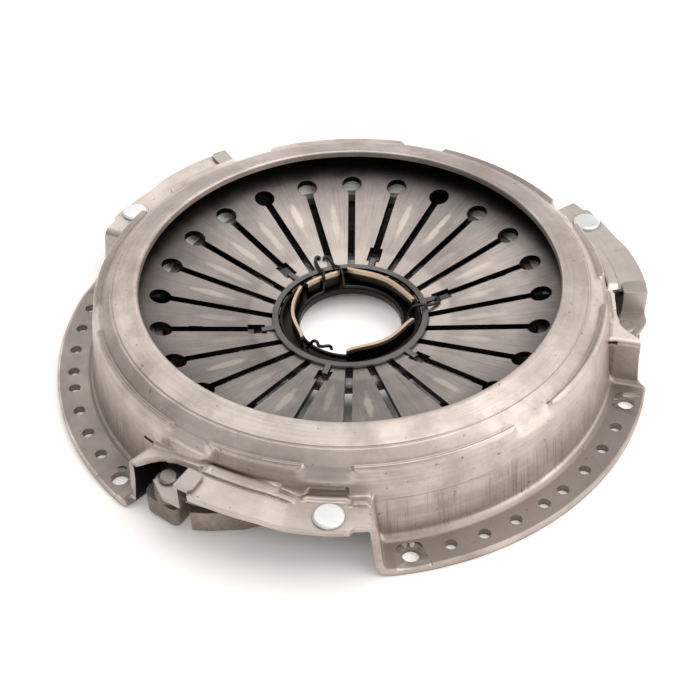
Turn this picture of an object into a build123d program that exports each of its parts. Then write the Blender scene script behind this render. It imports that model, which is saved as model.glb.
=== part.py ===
from build123d import *
import os
from math import cos, sin, radians, sqrt

os.makedirs("parts", exist_ok=True)

# Millimetres. Z is the clutch axis, z = 0 is the bolting face of the cover flange.
# Clearances
run_gap = 0.3
rivet_fit = 0.05
leaf_play = 0.3

# Three raised sectors of the cover, each with a ledge, a window and one leaf pack
sector_angles = (0, 120, 240)
raised_from = -24.5
raised_to = 24.9

# Cover sheet and radii, stepped inwards from the bolt circle
sheet = 5.5
flange_t = 6.0
bolt_r = 225.0
flange_r = bolt_r + 12.5
ledge_r = flange_r - 2.0
foot_r = bolt_r - 16.0
wall_r = foot_r - 6.0
rib_r = wall_r - 6.5
band_r = rib_r - 7.5
crown_r = band_r - 2.5
mouth_r = crown_r - 22.0
root_r = wall_r - 3.5
terrace_r = foot_r + 4.0
foot_fillet = 5.0
edge_round = 1.2
bend_r = 4.0

# Cover heights, stepped down from the crown
cover_h = 80.0
band_z = cover_h - 3.0
rib_z = cover_h - 12.5
neck_z = cover_h - 24.0
ledge_top = neck_z - 2.0
pad_top = ledge_top - 6.5
left_top = pad_top - 1.5
step_h = 2.0
lip_h = 1.8
lip_low = neck_z - 4.5

# Holes and pads of the flange
bolt_hole_r = 6.5
bolt_angles = (30, 90, 150, 210, 270, 330)
small_hole_r = 4.5
small_hole_circle = bolt_r - 0.5
small_hole_offsets = (-22.5, -15.9, -9.2, -2.5, 2.5, 9.2, 15.9, 22.5)
pad_recess = 1.2

# Ledge, rivet pad and window, as angles from the sector centre
left_head = -24.0
window_from = -22.7
window_to = -9.5
ledge_bend = 3.5
pad_from = 8.8
pad_to = 23.9
notch_from = 19.4
pocket_from = 11.0
pocket_to = 18.9
lip_from = -18.8
lip_to = -10.6
window_in = wall_r + 3.8
window_round = 20.0
post_r = ledge_r - 7.5
notch_r = ledge_r - 3.5
pocket_depth = 3.5

# Slit through the wall beside each window
slit_a = -25.2
slit_w = 17.0
slit_h = 2.6
slit_tilt = 5.0
slit_z = neck_z - 13.0

# Release hub radii, stepped from the finger tips
tip_r = 57.3
collar_in = tip_r + 0.2
collar_out = collar_in + 5.0
sleeve_out = tip_r - 0.9
sleeve_in = sleeve_out - 2.2
bore_r = sleeve_in - 13.2
tab_slot_from = tip_r + 11.7
tab_slot_to = tab_slot_from + 14.0
tab_to = tab_slot_from + 3.0
thrust_r = tip_r + 20.7
collar_t = 2.0
tab_w = 4.6
lip_z = 22.0
lip_top = lip_z + 5.5
sleeve_top = lip_top + 6.5
strip_t = 2.6
strip_top = lip_top + 14.5
wire_r = 1.3
wire_ring_r = bore_r + wire_r + run_gap

# Diaphragm spring, a cone that is low in the middle
finger_count = 24
slot_phase = 3.7
spring_r = crown_r + 4.0
spring_t = 5.0
rim_z = cover_h - 15.0
hub_z = sleeve_top
slot_w = 6.0
key_hole_r = 7.6
tab_slot_w = 11.0

# Pressure plate
knife_r = spring_r - 24.5
knife_land = 1.5
key_hole_circle = knife_r - 16.6
shelf_in = key_hole_circle + 0.6
shelf_gap = 5.4
plate_out = wall_r - 4.0
plate_in = plate_out - 81.0
face_z = 3.0
pocket_half = 7.0
pocket_floor = 2.0
pocket_w = 18.0
lug_root = plate_out - 9.0
butt_drop = 9.0

# Leaf packs, their rivets and the stop clips
cover_rivet_r = bolt_r - 1.5
cover_rivet_a = 15.7
ear_rivet_r = bolt_r - 7.5
ear_rivet_a = -16.8
leaf_fall = 8.4
leaf_count = 3
leaf_t = 1.2
leaf_w = 22.0
leaf_flat = 27.0
shank_r = 4.75
cover_head_r = 11.0
cover_head_h = 2.6
ear_head_r = 7.2
ear_head_h = 3.0
tail_r = 7.5
tail_h = 3.0
tail_depth = 9.0
ear_r = leaf_w / 2 + 0.5
toe_r = ear_rivet_r + 12.0
toe_from = -21.7
toe_to = -13.3
toe_round = 9.0
clip_t = 3.0
clip_from = -11.7
clip_to = -8.2
clip_in = ear_rivet_r - 2.0
clip_out = ledge_r - 1.5
clip_round = ear_head_r + 1.5

# Heights that follow from the sizes above
cone_slope = (rim_z - hub_z) / (spring_r - collar_out)
spring_v = spring_t * sqrt(1 + cone_slope ** 2)
leaf_top = pad_top - sheet
leaf_low = leaf_top - leaf_count * leaf_t
ear_top = leaf_low - leaf_fall
clip_z = leaf_top - leaf_fall
plate_back = ear_top + 3.0
lug_z = face_z + 2.0
lug_mid = lug_z + 0.6 * (ear_top - lug_z)


def spring_z(r):
    return hub_z + cone_slope * (r - collar_out)


def under_z(r):
    return spring_z(r) - spring_v


def polar(r, a, z=0.0):
    return (r * cos(radians(a)), r * sin(radians(a)), z)


def outline(points, radii=None):
    if radii:
        return make_face(FilletPolyline(*points, radius=radii, close=True))
    return make_face(Polyline(*points, close=True))


def turned(points, start=0.0, arc=360.0, radii=None):
    return Rot(0, 0, start) * revolve(Plane.XZ * outline(points, radii), Axis.Z, revolution_arc=arc)


def sector(r0, r1, a0, a1, z0, z1):
    return turned([(r0, z0), (r1, z0), (r1, z1), (r0, z1)], a0, a1 - a0)


def upright(points, a, depth, radii=None):
    side = Plane(origin=(0, 0, 0), x_dir=polar(1, a + 90), z_dir=polar(1, a))
    return extrude(side * outline(points, radii), depth)


def plan(points, z0, z1, radii=None):
    return extrude(Pos(0, 0, z0) * outline(points, radii), z1 - z0)


def post(r, a, radius, z0, z1):
    return Pos(*polar(r, a, (z0 + z1) / 2)) * Cylinder(radius, z1 - z0)


def save(shape, name):
    export_step(shape, "parts/" + name + ".step")


# Pressed cover
def cover_shell():
    top = cover_h - sheet
    points = [(foot_r - sheet, 0), (flange_r, 0), (flange_r, flange_t), (foot_r, flange_t)]
    radii = [0, edge_round, edge_round, foot_fillet]
    points += [(wall_r, neck_z), (rib_r, rib_z), (band_r, band_z), (crown_r, cover_h), (mouth_r, cover_h)]
    radii += [4 * bend_r, 4 * bend_r, bend_r, bend_r / 2, edge_round]
    points += [(mouth_r, top), (crown_r - 2, top), (band_r - 0.55 * sheet, band_z - 0.84 * sheet)]
    points += [(rib_r - 0.82 * sheet, rib_z - 0.57 * sheet), (wall_r - 0.93 * sheet, neck_z - 0.32 * sheet)]
    radii += [0, 0, 0, 0, 0]
    return turned(points, radii=radii)


def fulcrum_bead():
    inner = crown_r - 4.5
    outer = crown_r + 2
    top = cover_h - sheet / 2
    points = [(inner, spring_z(inner)), (outer, spring_z(outer)), (outer + 1.5, band_z - sheet)]
    points += [(crown_r, top), (inner - 1.5, top)]
    return turned(points)


def shoulder_rib(centre, half):
    points = [(rib_r - 3, rib_z + 1), (rib_r - 0.4, rib_z + 3.2), (rib_r + 1.7, rib_z + 1.8)]
    points += [(rib_r + 3.4, rib_z - 2.2), (rib_r + 3.2, rib_z - 5.4), (rib_r - 1, rib_z - 5)]
    return turned(points, centre - half, 2 * half)


def ledge_line(rise):
    """Outline of the ledge and its pad seen from outside, falling in a soft S to the pad."""
    bend_z = (ledge_top + pad_top) / 2 + 1
    knots = [(window_to, ledge_top), (ledge_bend, bend_z), (pad_from, pad_top), (pad_to, pad_top)]
    line = [(ledge_r * sin(radians(a)), z + rise) for a, z in knots]
    return line + [(t, z - sheet - rise) for t, z in reversed(line)]


def ledge(c):
    bends = [0, 6 * bend_r, 6 * bend_r, 0, 0, 6 * bend_r, 6 * bend_r, 0]
    span = sector(root_r, ledge_r, c + window_to, c + notch_from, leaf_low, cover_h)
    span = span + sector(root_r, notch_r, c + notch_from, c + pad_to, leaf_low, cover_h)
    terrace = sector(root_r, terrace_r, c + window_to, c + pad_from, leaf_low, cover_h)
    parts = [upright(ledge_line(0), c, ledge_r + 5, bends) & span]
    parts += [upright(ledge_line(step_h), c, ledge_r + 5, bends) & terrace]
    parts += [sector(root_r, terrace_r, c + notch_from, c + pad_to - 1, pad_top - sheet, pad_top + step_h)]
    return parts


def pocket_wall(c):
    back = wall_r - pocket_depth - sheet
    return sector(back, wall_r, c + pocket_from - 1.4, c + pocket_to + 1.4, pad_top - sheet, neck_z + 1)


def roof_frame(c):
    middle = (left_head + window_to) / 2
    run = ledge_r * radians(window_to - middle)
    return c + middle, run


def window_roof(c):
    a, run = roof_frame(c)
    slope = [(-run, left_top - sheet), (run, ledge_top - sheet), (run, ledge_top), (-run, left_top)]
    lip = [(wall_r - 3, lip_low), (wall_r + lip_h + 0.6, lip_low), (wall_r + lip_h, neck_z)]
    lip += [(wall_r - 2, neck_z + 4.5), (wall_r - 4, neck_z + 4.5)]
    keep = sector(root_r, post_r, c + left_head - 0.3, c + window_to, leaf_low - 5, cover_h)
    return [upright(slope, a, ledge_r + 5) & keep, turned(lip, c + lip_from, lip_to - lip_from)]


def window_gap(c):
    a, run = roof_frame(c)
    slope = [(-run, -1), (-run, left_top - sheet), (run, ledge_top - sheet), (run, -1)]
    keep = sector(rib_r - 6, flange_r + 2, c + left_head + 1, c + window_to, -1, cover_h)
    return upright(slope, a, flange_r + 20) & keep


def window(c):
    far = flange_r + 2
    points = [polar(window_in, c + window_from), polar(window_in, c + window_to)]
    points += [polar(far, c + window_to), polar(far, c + window_from)]
    return plan(points, -1, cover_h, [window_round, 0, 0, 0])


def slit(c):
    bar = Rot(slit_tilt, 0, 0) * Box(3 * sheet, slit_w, slit_h)
    return Rot(0, 0, c + slit_a) * Pos(wall_r, 0, slit_z) * bar


def ramp_frame(side):
    head = pad_to if side > 0 else left_head
    foot = raised_to if side > 0 else raised_from
    middle = (head + foot) / 2
    return middle, ledge_r * radians(foot - middle), pad_top if side > 0 else left_top


def ramp(c, side):
    middle, run, top = ramp_frame(side)
    lap = 2 * sheet * side
    points = [(-run - lap, top - sheet), (-run - lap, top), (-run, top), (run, flange_t)]
    points += [(run + lap, flange_t), (run + lap, 0), (run - sheet * side, 0)]
    points += [(-run - sheet * side, top - sheet)]
    bends = [0, 0, 1.5 * bend_r, bend_r, 0, 0, 0, 0.5 * bend_r]
    keep = sector(wall_r - 3, notch_r if side > 0 else post_r, c + middle - 6, c + middle + 6, 0, top)
    return upright(points, c + middle, ledge_r + 20, bends) & keep


def ramp_gap(c, side):
    middle, run, top = ramp_frame(side)
    far = -run - 5 * sheet * side
    under = [(far, -1), (far, top - sheet), (-run - sheet * side, top - sheet)]
    under += [(run - sheet * side, 0), (run - sheet * side, -1)]
    keep = sector(rib_r - 6, flange_r + 2, c + middle - 8, c + middle + 8, -1, top)
    return upright(under, c + middle, flange_r + 20) & keep


def bolt_pad(a):
    near = bolt_r - 10
    points = [(near, -9), (flange_r + 2, -14), (flange_r + 2, 14), (near, 9)]
    return Rot(0, 0, a) * plan(points, flange_t - pad_recess, flange_t + 6)


def cover():
    body = cover_shell() + fulcrum_bead()
    open_under = []
    for c in sector_angles:
        first, last = c + left_head + 4, c + pad_to - 4
        open_under += [sector(rib_r - 6, flange_r + 2, first, last, -1, pad_top - sheet)]
        open_under += [ramp_gap(c, 1), ramp_gap(c, -1), window_gap(c)]
    body = body - open_under
    ribs = []
    for c in sector_angles:
        ribs += [shoulder_rib(c, 10), shoulder_rib(c + 37.5, 17.5), shoulder_rib(c + 82.5, 17.5)]
        ribs += ledge(c) + window_roof(c)
        ribs += [ramp(c, 1), ramp(c, -1), pocket_wall(c)]
    body = body + ribs
    cuts = [bolt_pad(a) for a in bolt_angles]
    cuts += [post(bolt_r, a, bolt_hole_r, -1, flange_t + 1) for a in bolt_angles]
    for c in sector_angles:
        cuts += [window(c), slit(c)]
        cuts += [sector(wall_r - pocket_depth, ledge_r, c + pocket_from, c + pocket_to, pad_top, neck_z - 1)]
        for offset in small_hole_offsets:
            cuts += [post(small_hole_circle, c + 60 + offset, small_hole_r, -1, flange_t + 1)]
        cuts += [post(cover_rivet_r, c + cover_rivet_a, shank_r + rivet_fit, leaf_low, pad_top + 1)]
    return body - cuts


# Cast pressure plate
def plate_ring():
    knife_z = under_z(knife_r - knife_land) - run_gap
    shelf_z = under_z(shelf_in) - shelf_gap
    base = plate_back
    points = [(plate_in, face_z), (plate_out, face_z), (plate_out, base - 8), (plate_out - 4, base)]
    points += [(knife_r + 7, base), (knife_r + 5, base + 3), (knife_r + knife_land, knife_z)]
    points += [(knife_r - knife_land, knife_z), (knife_r - 6, shelf_z), (shelf_in, shelf_z)]
    points += [(shelf_in - 2, base), (plate_in + 4, base), (plate_in, base - 4)]
    return turned(points)


def plate_lug(c):
    a = c + ear_rivet_a
    r = ear_rivet_r
    root = lug_root
    ear = post(r, a, ear_r, lug_mid, ear_top)
    neck = [polar(root, a - 3.4), polar(r, a - 3.0), polar(r, a + 3.0), polar(root, a + 3.4)]
    toe = [polar(root, c + toe_from), polar(toe_r, c + toe_from)]
    toe += [polar(toe_r, c + toe_to), polar(root, c + toe_to)]
    butt = [polar(root, c + toe_to), polar(plate_out + 9, a + 4.4), polar(r + 9.5, a + 6.4)]
    butt += [polar(r + 4.5, a + 9.4), polar(plate_out + 12, a + 15.2), polar(plate_out - 2, a + 21)]
    butt += [polar(root, a + 21)]
    lug = [ear, plan(neck, lug_mid, ear_top), plan(toe, lug_z - 2, lug_mid, [0, toe_round, toe_round / 2, 0])]
    return lug + [plan(butt, lug_z, plate_back - butt_drop)]


def pressure_plate():
    body = plate_ring()
    lugs = []
    for c in sector_angles:
        lugs += plate_lug(c)
    body = body + lugs
    base = plate_back
    near, far = shelf_in - 3, knife_r + pocket_w / 2
    gaps = [sector(near, far, a - pocket_half, a + pocket_half, base + pocket_floor, cover_h)
            for a in [slot_phase - 15 + 60 * k for k in range(6)]]
    for c in sector_angles:
        gaps += [post(ear_rivet_r, c + ear_rivet_a, shank_r + rivet_fit, 0, ear_top + 1)]
        gaps += [post(ear_rivet_r, c + ear_rivet_a, tail_r + 1, 0, lug_z + tail_depth)]
    return body - gaps


# Diaphragm spring
def diaphragm_spring():
    points = [(tip_r, spring_z(tip_r)), (spring_r, spring_z(spring_r))]
    points += [(spring_r, under_z(spring_r)), (tip_r, under_z(tip_r))]
    cone = turned(points)
    cuts = []
    for k in range(finger_count):
        a = slot_phase + 360 * k / finger_count
        length = key_hole_circle - bore_r
        middle = key_hole_circle - length / 2
        cuts += [Rot(0, 0, a) * Pos(middle, 0, cover_h / 2) * Box(length, slot_w, cover_h)]
        cuts += [post(key_hole_circle, a, key_hole_r, 0, cover_h)]
    for k in range(6):
        a = slot_phase + 60 * k
        length = tab_slot_to - tab_slot_from
        middle = tab_slot_from + length / 2
        cuts += [Rot(0, 0, a) * Pos(middle, 0, cover_h / 2) * Box(length, tab_slot_w, cover_h)]
    return cone - cuts


# Leaf springs, rivets and clips of one sector
def leaf(c, layer):
    ear = Vector(*polar(ear_rivet_r, c + ear_rivet_a))
    pad = Vector(*polar(cover_rivet_r, c + cover_rivet_a))
    half = (pad - ear).length / 2
    end = leaf_w / 2
    z0 = layer * leaf_t
    bend = [(-half - end, ear_top + z0), (-half + leaf_flat, ear_top + z0), (half - end, leaf_low + z0)]
    bend += [(half + end, leaf_low + z0)]
    band = bend + [(x, z + leaf_t) for x, z in reversed(bend)]
    side = extrude(Plane.XZ * make_face(Polyline(*band, close=True)), end, both=True)
    outline = extrude(SlotCenterToCenter(2 * half, leaf_w), leaf_top + 20)
    holes = [Pos(-half, 0, ear_top) * Cylinder(shank_r + leaf_play, 20)]
    holes += [Pos(half, 0, leaf_low) * Cylinder(shank_r + rivet_fit, 20)]
    blade = (side & outline) - holes
    return Plane(origin=(ear + pad) * 0.5, x_dir=pad - ear, z_dir=(0, 0, 1)) * blade


def rivet(r, a, head_r, head_z, head_h, tail_top):
    head = turned([(0, head_z), (head_r, head_z), (head_r, head_z + 0.6 * head_h),
                   (head_r - 0.5 * head_h, head_z + head_h), (0, head_z + head_h)])
    shank = Pos(0, 0, (tail_top + head_z) / 2) * Cylinder(shank_r, head_z - tail_top)
    tail = Pos(0, 0, tail_top - tail_h / 2) * Cylinder(tail_r, tail_h)
    return Pos(*polar(r, a)) * (head + shank + tail)


def stop_clip(c):
    a = c + ear_rivet_a
    r0 = clip_in
    r1 = clip_out
    tab_top = ledge_top + clip_t
    wall_a = clip_from + clip_t / radians(r1)
    base = [polar(r0 - 6, a - 1), polar(r0, c + wall_a), polar(r1, c + wall_a), polar(r1, a + 2.2)]
    base += [polar(r1 - 3, a + 0.6), polar(ear_rivet_r + 8, a - 2)]
    wall = [polar(r0, c + clip_from), polar(r1, c + clip_from), polar(r1, c + wall_a), polar(r0, c + wall_a)]
    hook = [polar(r0, c + clip_from), polar(r1, c + clip_from), polar(r1, c + clip_to - 0.7)]
    hook += [polar(r1 - 3, c + clip_to), polar(r0 + 3, c + clip_to), polar(r0, c + clip_to - 0.7)]
    clip = plan(base, clip_z, clip_z + clip_t) + plan(wall, clip_z, tab_top) + plan(hook, ledge_top, tab_top)
    clip = clip + post(ear_rivet_r, a, clip_round, clip_z, clip_z + clip_t)
    return clip - post(ear_rivet_r, a, shank_r + rivet_fit, clip_z - 1, clip_z + clip_t + 1)


# Release hub
def collar_ring():
    z0 = spring_z(collar_out) + run_gap
    z1 = z0 + collar_t
    ring = turned([(collar_in, z0), (collar_out, z0), (collar_out, z1), (collar_in, z1)])
    tabs = []
    for k in range(6):
        a = slot_phase + 60 * k
        middle = (collar_out + tab_to) / 2
        arm = Pos(middle, 0, (z0 + z1) / 2) * Box(tab_to - collar_out + 1, tab_w, collar_t)
        low = under_z(tab_slot_from) - run_gap
        foot = Pos(tab_to - collar_t / 2, 0, (low + z1) / 2) * Box(collar_t, tab_w, z1 - low)
        tabs += [Rot(0, 0, a) * (arm + foot)]
    return ring + tabs


def thrust_ring():
    land = under_z(tab_slot_from) - run_gap
    tip = under_z(tip_r + 1) - run_gap
    points = [(bore_r, lip_z), (thrust_r, lip_z), (thrust_r, land - 2), (thrust_r - 2, land)]
    points += [(tab_slot_from, land), (tip_r + 1, tip), (sleeve_out, tip)]
    points += [(sleeve_out, sleeve_top), (sleeve_in, sleeve_top), (sleeve_in, lip_top), (bore_r, lip_top)]
    return turned(points)


def strip(knots):
    half = strip_t / 2
    outer = Spline(*[polar(bore_r + out + half, a) for a, out in knots])
    inner = Spline(*[polar(bore_r + out - half, a) for a, out in knots])
    ends = [Line(outer @ 0, inner @ 0), Line(outer @ 1, inner @ 1)]
    face = make_face(Curve() + [outer, inner] + ends)
    return extrude(Pos(0, 0, lip_top) * face, strip_top - lip_top)


def wire(points):
    path = Spline(*[polar(r, a, z) for a, r, z in points])
    return sweep(Plane(origin=path @ 0, z_dir=path % 0) * Circle(wire_r), path)


def wire_end(knots, side):
    z = lip_top + wire_r
    over = strip_top + wire_r + 0.2
    on_collar = spring_z(collar_out) + run_gap + collar_t + wire_r + 0.2
    r = wire_ring_r
    tip = collar_out + knots[1]
    points = [(knots[0], r, z), (knots[0] - side, r + 0.2, z + 8), (knots[0] - 1.8 * side, r + 0.5, over - 2)]
    points += [(knots[0] - 3.2 * side, r + 3.6, over + 1), (knots[0] - 4.8 * side, r + 9, over)]
    points += [(knots[0] - 6.3 * side, collar_in + 2.5, on_collar + 0.8)]
    points += [(knots[0] - 7.3 * side, tip - 4, spring_z(tip - 4) + 2.2)]
    points += [(knots[0] - 8 * side, tip, spring_z(tip) + 1.8)]
    points += [(knots[0] - 9.7 * side, tip + 2.5, spring_z(tip + 2.5) + 1.8)]
    points += [(knots[0] - 11.4 * side, tip + 0.5, spring_z(tip) + 1.8)]
    return wire(points)


def lock_wire():
    start, stop = 111, 446
    circle = Pos(wire_ring_r, 0, lip_top + wire_r) * Rot(90, 0, 0) * Circle(wire_r)
    ring = Rot(0, 0, start) * revolve(circle, Axis.Z, revolution_arc=stop - start)
    return ring + wire_end((start, 10.0), 1) + wire_end((stop - 360, 8.5), -1)


def wire_loop():
    z = lip_top + wire_r
    on_collar = spring_z(collar_out) + run_gap + collar_t + wire_r + 0.2
    points = [(-20, bore_r + 5, z + 0.3), (-14, bore_r + 5.2, z + 1.2), (-9, bore_r + 6, z + 5)]
    points += [(-8, bore_r + 7.5, strip_top - 5), (-7, bore_r + 11, strip_top - 2)]
    points += [(-5, collar_in + 2.5, on_collar + 0.8)]
    for a, out, rise in ((-3.5, 4.5, 2.2), (-2, 8.5, 1.8), (0, 10, 1.8), (1.6, 7.5, 1.8)):
        r = collar_out + out
        points += [(a, r, spring_z(r) + rise)]
    return wire(points)


def wire_hook():
    low = lip_top + wire_r
    z = strip_top - 4
    points = [(213, bore_r + 6.8, low), (216, bore_r + 5.4, low + 4), (220, bore_r + 3.8, z)]
    points += [(225, bore_r + 4.5, z + 1), (229, bore_r + 7, z + 1), (233, bore_r + 6.2, z + 1)]
    points += [(237, bore_r + 3, z), (239.6, bore_r + 2, low + 5)]
    return wire(points)


# Middle lines of the lock strips, as angle and distance out from the bore
strips = {
    "lock_segment_1": [(82, 9.5), (75, 7.5), (61, 6), (41, 6), (21, 6.5), (9, 8.3), (0, 10.8)],
    "lock_segment_2": [(-26, 10.5), (-35, 7.3), (-54, 6), (-75, 5.5), (-94, 6), (-104, 9.5)],
    "lock_segment_3": [(211, 9.5), (203, 6.5), (194, 5.4), (176, 5), (160, 5.2), (146, 6), (134, 8)],
    "lock_tongue": [(128, 5.8), (113, 5.4), (99, 5.4), (90, 6.8)],
}

# Each piece is written as its own file
save(cover(), "cover")
save(pressure_plate(), "pressure_plate")
save(diaphragm_spring(), "diaphragm_spring")
for number, c in enumerate(sector_angles, 1):
    for layer in range(leaf_count):
        save(leaf(c, layer), "leaf_%d_%d" % (number, layer + 1))
    ear_angle = c + ear_rivet_a
    pad_angle = c + cover_rivet_a
    ear_rivet = rivet(ear_rivet_r, ear_angle, ear_head_r, clip_z + clip_t, ear_head_h, lug_z + tail_depth)
    cover_rivet = rivet(cover_rivet_r, pad_angle, cover_head_r, pad_top, cover_head_h, leaf_low)
    save(ear_rivet, "ear_rivet_%d" % number)
    save(cover_rivet, "cover_rivet_%d" % number)
    save(stop_clip(c), "stop_clip_%d" % number)
save(collar_ring(), "collar_ring")
save(thrust_ring(), "thrust_ring")
for name, knots in strips.items():
    save(strip(knots), name)
save(lock_wire(), "lock_wire")
save(wire_loop(), "wire_loop")
save(wire_hook(), "wire_hook")
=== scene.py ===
import bpy
import bmesh
import math
import numpy as np
from mathutils import Matrix, Vector


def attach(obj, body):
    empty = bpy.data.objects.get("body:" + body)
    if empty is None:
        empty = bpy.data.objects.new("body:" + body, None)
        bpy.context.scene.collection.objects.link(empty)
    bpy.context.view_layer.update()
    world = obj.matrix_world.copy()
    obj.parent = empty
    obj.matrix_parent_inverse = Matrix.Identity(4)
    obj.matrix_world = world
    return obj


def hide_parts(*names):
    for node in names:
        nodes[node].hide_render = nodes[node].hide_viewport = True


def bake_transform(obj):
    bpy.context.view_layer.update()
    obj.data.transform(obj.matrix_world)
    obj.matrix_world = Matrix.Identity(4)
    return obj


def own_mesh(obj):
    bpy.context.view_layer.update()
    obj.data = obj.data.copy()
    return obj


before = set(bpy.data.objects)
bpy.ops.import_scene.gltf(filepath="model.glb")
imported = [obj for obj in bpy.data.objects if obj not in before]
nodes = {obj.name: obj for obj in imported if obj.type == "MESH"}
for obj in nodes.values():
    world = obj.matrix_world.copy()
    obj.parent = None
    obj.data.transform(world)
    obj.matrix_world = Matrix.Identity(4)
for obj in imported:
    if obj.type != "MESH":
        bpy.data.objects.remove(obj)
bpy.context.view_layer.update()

MM = 0.001

# Cover sizes in millimetres, angles in degrees
SHEET = 5.5
FLANGE_T, FLANGE_R, BOLT_R, BOLT_HOLE = 6.0, 237.5, 225.0, 6.5
SEAT_DEPTH, HOLE_LOW, HOLE_HIGH = 1.2, -5, 20
SMALL_R, SMALL_HOLE = 224.5, 4.5
SMALL_AT = (-22.5, -15.9, -9.2, -2.5, 2.5, 9.2, 15.9, 22.5)
COVER_H, MOUTH_R, CROWN_FLAT, CROWN_R = 80.0, 164.5, 167.5, 186.5
CROWN_EDGE_Z, RIB_R, RIB_Z, RIB_H = 75.5, 196.5, 67.5, 4.0
RIB_SPANS = ((-9.8, 9.8), (20.0, 54.8), (-54.8, -20.0))
WALL_R, NECK_Z, FOOT_R = 203.0, 56.0, 209.0
SKIRT_TOP = NECK_Z - 2
LEDGE_R, LEDGE_TOP, PAD_TOP = 235.5, 54.0, 47.5
SLIT_AT, SLIT_Z = -25.2, NECK_Z - 13.0
SECTORS = (0.0, 120.0, 240.0)
BOLT_AT = range(30, 360, 60)
BOLT_SIDES, SMALL_SIDES = 40, 28

# Pressed details of the cover: spans in degrees, then sizes in millimetres
STEP_SPAN, STEP_H = (-9.0, 8.4), 2.0
PAD_STEP_SPAN, PAD_STEP_H = (19.6, 23.0), 1.6
POCKET_SPAN, POCKET_DEPTH = (11.0, 18.9), 4.8
LIP_SPAN, LIP_HEIGHTS, LIP_OUT = (-18.8, -10.6), (46, 56.4), 1.8
FOLD_SPAN, FOLD_RADII, FOLD_H = (10.4, 19.3), (206.6, 210.8), 1.4
DRAWN_SPAN, DRAWN_DEPTH = (27.0, 46.0), 0.6
GROOVE_R, GROOVE_W, GROOVE_DEPTH = CROWN_R - 1.0, 0.6, 0.7
# Terrace beside the wall: distance out from the foot, share of the step's height and bend radius
TERRACE = ((6.2, 1.0, 0.8), (9.6, 1.0, 0.5), (10.2, -0.15, 0.2), (11.2, 0.0, 0.3))

# One third of the rim: angle, height of the sheet and bend radius at each corner
SECTOR_LINE = (
    (-24.5, FLANGE_T, 4.5), (-24.0, 46.0, 5), (-16.5, 50.0, 14), (-9.5, LEDGE_TOP, 0),
    (-4.0, LEDGE_TOP - 0.4, 30), (4.0, LEDGE_TOP - 2.4, 40), (8.2, PAD_TOP + 0.5, 12),
    (11.0, PAD_TOP, 10), (23.9, PAD_TOP, 7), (24.9, FLANGE_T, 6),
)
# Angle and outer radius of the same third, which draws in at the window
SECTOR_EDGE = (
    (-60, FLANGE_R), (-25.3, FLANGE_R), (-25.0, FLANGE_R - 1), (-24.7, 233.6), (-24.5, 230.6),
    (-24.2, 228.6), (-23.4, 227.8), (-22.6, 226.6), (-21.9, 222.5), (-21.2, 218), (-20, 213.2),
    (-18.5, 209.6), (-16.6, 207.2), (-12, 206.8), (-9.6, 208), (-9.5, 230.5), (-9.2, 233.6),
    (-8.7, LEDGE_R), (19.2, LEDGE_R), (19.5, 234.6), (19.8, 232.2), (22.4, 231.8), (24.0, 232.2),
    (24.6, 234.2), (25.0, 236.4), (25.3, FLANGE_R), (60, FLANGE_R),
)
# Angles of extra columns of the mesh where the ledge ends
LEDGE_END = (-9.58, -9.5, -9.44, -9.3, -9.0)

# Rows of the cover's mesh and the spacing of its points
CROWN_ROWS, SKIRT_ROWS, BACK_EVERY = 130, 120, 3
FLAT_STEP, RISE_STEP, BEND_STEP, PROFILE_STEP = 2.4, 1.5, 0.7, 0.4

# Spring sizes in millimetres
FINGERS, SLOT_PHASE, SPRING_R, TIP_R = 24, 3.7, 190.5, 57.3
SPRING_T, RIM_Z, HUB_Z, HUB_R = 5.0, 65.0, 34.0, 62.5
SLOT_W, SLOT_FROM, SLOT_LOW, SLOT_HIGH = 6.0, 50, 5, 90
KEY_R, KEY_AT, KEY_POINTS = 8.5, 150.6, 24
TAB_SLOT_W, TAB_FROM, TAB_TO, TAB_EVERY = 11.0, 69, 83, 4
SPRING_ROWS = 14

# Leaf spring sizes in millimetres; the two places are radius and angle
LEAF_T, LEAF_W, LEAF_FALL, LEAF_FLAT = 1.2, 22.0, 8.4, 27.0
LEAF_LAYERS, LEAF_TIP_ROWS, LEAF_ROWS, LEAF_SIDE = 3, 8, 30, 3
LEAF_LOW = PAD_TOP - SHEET - LEAF_LAYERS * LEAF_T
EAR_TOP = LEAF_LOW - LEAF_FALL
EAR_AT, PAD_AT = (217.5, -16.8), (223.5, 15.7)


def rounded(corners, step):
    """Points along a line of corners (x, y, radius), with an arc of that radius at each inner one."""
    points = [np.array(corner[:2], float) for corner in corners]
    out = [points[0]]
    for k in range(1, len(points) - 1):
        b, r = points[k], corners[k][2]
        u, v = points[k - 1] - b, points[k + 1] - b
        lu, lv = np.linalg.norm(u), np.linalg.norm(v)
        u, v = u / lu, v / lv
        half = math.acos(max(-1.0, min(1.0, float(u @ v)))) / 2
        if r <= 0 or half > math.pi / 2 - 1e-3:
            out.append(b)
            continue
        # an arc takes less than half of each side
        d = min(r / math.tan(half), 0.49 * lu, 0.49 * lv)
        r = d * math.tan(half)
        mid = (u + v) / np.linalg.norm(u + v)
        centre = b + mid * r / math.sin(half)
        p, q = b + u * d - centre, b + v * d - centre
        turn = math.pi - 2 * half
        n = max(2, math.ceil(r * turn / step))
        for i in range(n + 1):
            f = i / n
            w = (math.sin((1 - f) * turn) * p + math.sin(f * turn) * q) / math.sin(turn)
            out.append(centre + w)
    out.append(points[-1])
    return np.array(out)


def spread(line, count):
    """The same line as count points, evenly spaced along it."""
    length = np.concatenate([[0], np.cumsum(np.linalg.norm(np.diff(line, axis=0), axis=1))])
    at = np.linspace(0, length[-1], count)
    return np.stack([np.interp(at, length, line[:, k]) for k in range(line.shape[1])], axis=1)


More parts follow.
